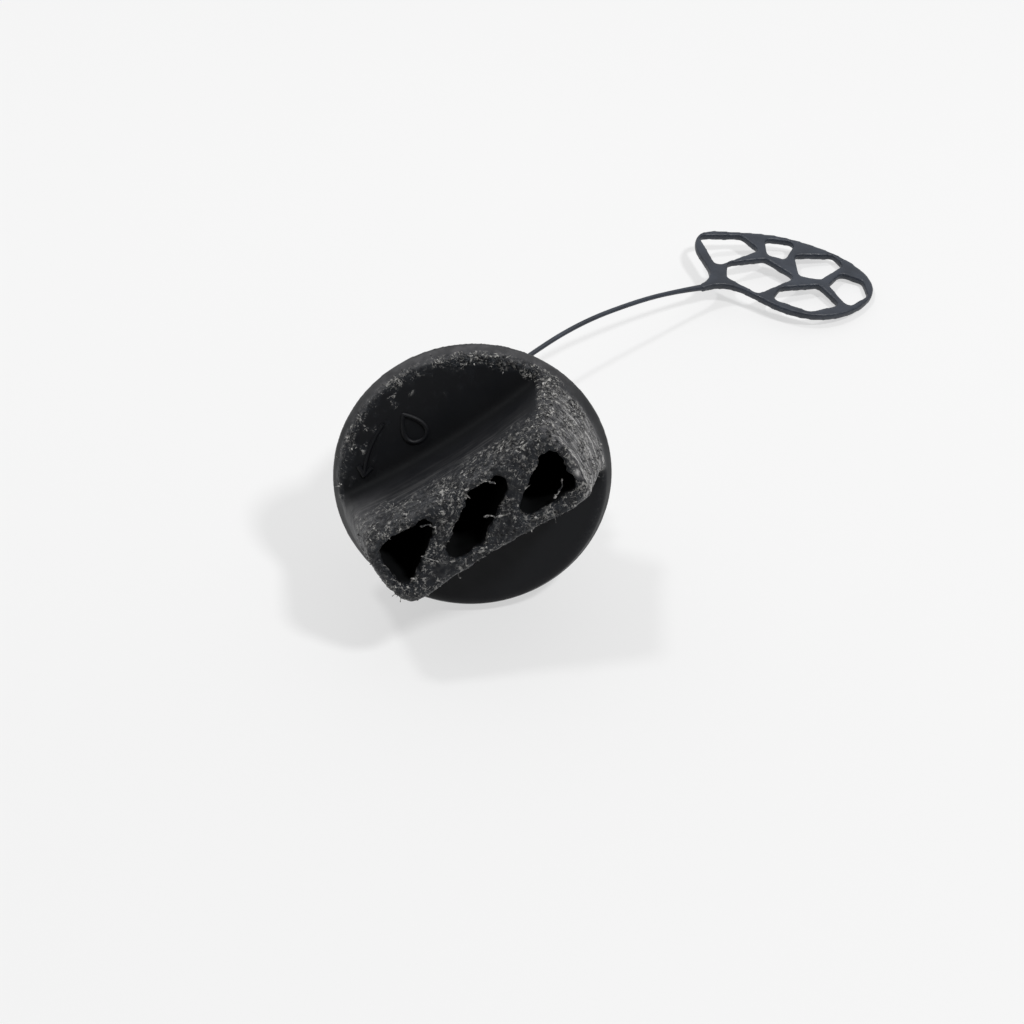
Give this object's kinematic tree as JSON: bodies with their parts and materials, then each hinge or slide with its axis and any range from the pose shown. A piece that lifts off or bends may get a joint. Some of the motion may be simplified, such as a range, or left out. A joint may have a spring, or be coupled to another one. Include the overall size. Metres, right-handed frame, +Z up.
{
  "type": "oil tank cap",
  "caption": "Worn screw-in oil tank cap of a hand-held power tool: round knob with a cored grip bar, threaded spigot, seal ring and a swivelling tether with a retainer net.",
  "frame": {"origin": "on the table, under the middle of the lying cap's box, tether and net left out", "axes": "+Z up from the table; the cap lies on its knob's rim and its spigot's end, with the grip facing -Y and up and the spigot pointing to +Y and down; +X runs across the knob's diameter, level"},
  "size_m": [0.0797, 0.0806, 0.0335],
  "materials": {
    "cap_plastic": "black nylon, matt where scuffed, torn along the grip's edges",
    "seal_rubber": "oiled black rubber",
    "tether_plastic": "soft black plastic, satin"
  },
  "bodies": {
    "cap": {"cap_body": "cap_plastic", "seal_ring": "seal_rubber"},
    "tether": {"tether_anchor": "tether_plastic", "tether_cord": "tether_plastic", "retainer_net": "tether_plastic"}
  },
  "joints": [
    {"name": "tether_swivel", "type": "hinge", "parent": "cap", "child": "tether", "pos_m": [0, 0.00522, 0.01459], "axis": [0, -0.9184, 0.3956], "continuous": true}
  ]
}
